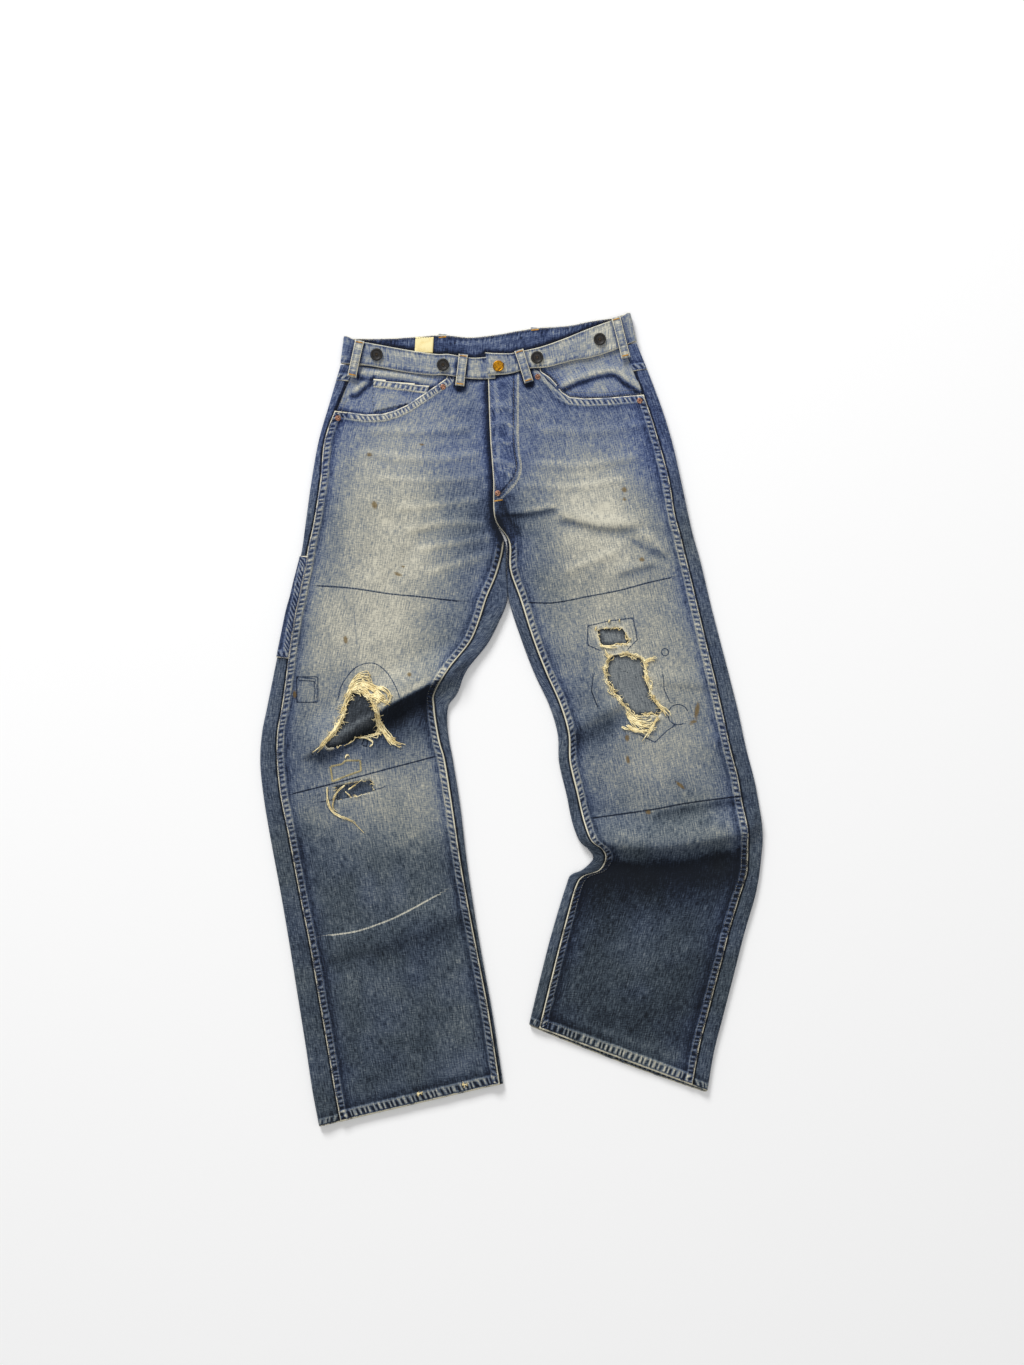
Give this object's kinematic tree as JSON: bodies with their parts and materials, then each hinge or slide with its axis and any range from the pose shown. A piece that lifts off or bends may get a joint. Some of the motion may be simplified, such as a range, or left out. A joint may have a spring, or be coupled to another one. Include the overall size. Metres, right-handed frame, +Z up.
{
  "type": "ripped jeans laid flat",
  "caption": "Faded, torn and mended straight-leg denim jeans with braces buttons, laid flat on their back.",
  "frame": {"origin": "on the surface it lies on, under the middle of its bounding box", "axes": "+Y from the hems to the waist, +X to the wearer's left leg, +Z up off the surface, front of the jeans upward"},
  "size_m": [0.6902, 1.1184, 0.0196],
  "materials": {
    "denim_front": "faded indigo twill",
    "denim_back": "washed indigo twill",
    "denim_facing": "indigo twill",
    "denim_band": "washed indigo twill, topstitched",
    "patch_denim": "dark grey-blue twill",
    "label_cloth": "plain cream weave, bare",
    "button_resin": "dark, satin",
    "aged_brass": "aged, dull",
    "copper_rivet": "aged copper, dull"
  },
  "bodies": {
    "root": {"front_right": "denim_front", "front_left": "denim_front", "pocket_facing_right": "denim_facing", "pocket_facing_left": "denim_facing", "watch_pocket": "denim_facing", "knee_patch_right": "patch_denim", "knee_patch_left": "patch_denim", "back_right": "denim_back", "yoke_right": "denim_back", "back_left": "denim_back", "yoke_left": "denim_back", "waistband": "denim_band", "size_label": "label_cloth", "belt_loop_side_right": "denim_band", "belt_loop_front_right": "denim_band", "belt_loop_front_left": "denim_band", "belt_loop_side_left": "denim_band", "belt_loop_back_right": "denim_band", "belt_loop_back_left": "denim_band", "braces_button_outer_right": "button_resin", "braces_button_inner_right": "button_resin", "braces_button_inner_left": "button_resin", "braces_button_outer_left": "button_resin", "braces_button_back_right": "button_resin", "braces_button_back_left": "button_resin", "waist_button": "aged_brass", "rivet_mouth_right": "copper_rivet", "rivet_side_right": "copper_rivet", "rivet_mouth_left": "copper_rivet", "rivet_side_left": "copper_rivet", "rivet_fly": "copper_rivet", "back_pocket_right": "denim_back", "back_pocket_left": "denim_back", "tool_pocket": "denim_back"}
  },
  "joints": []
}
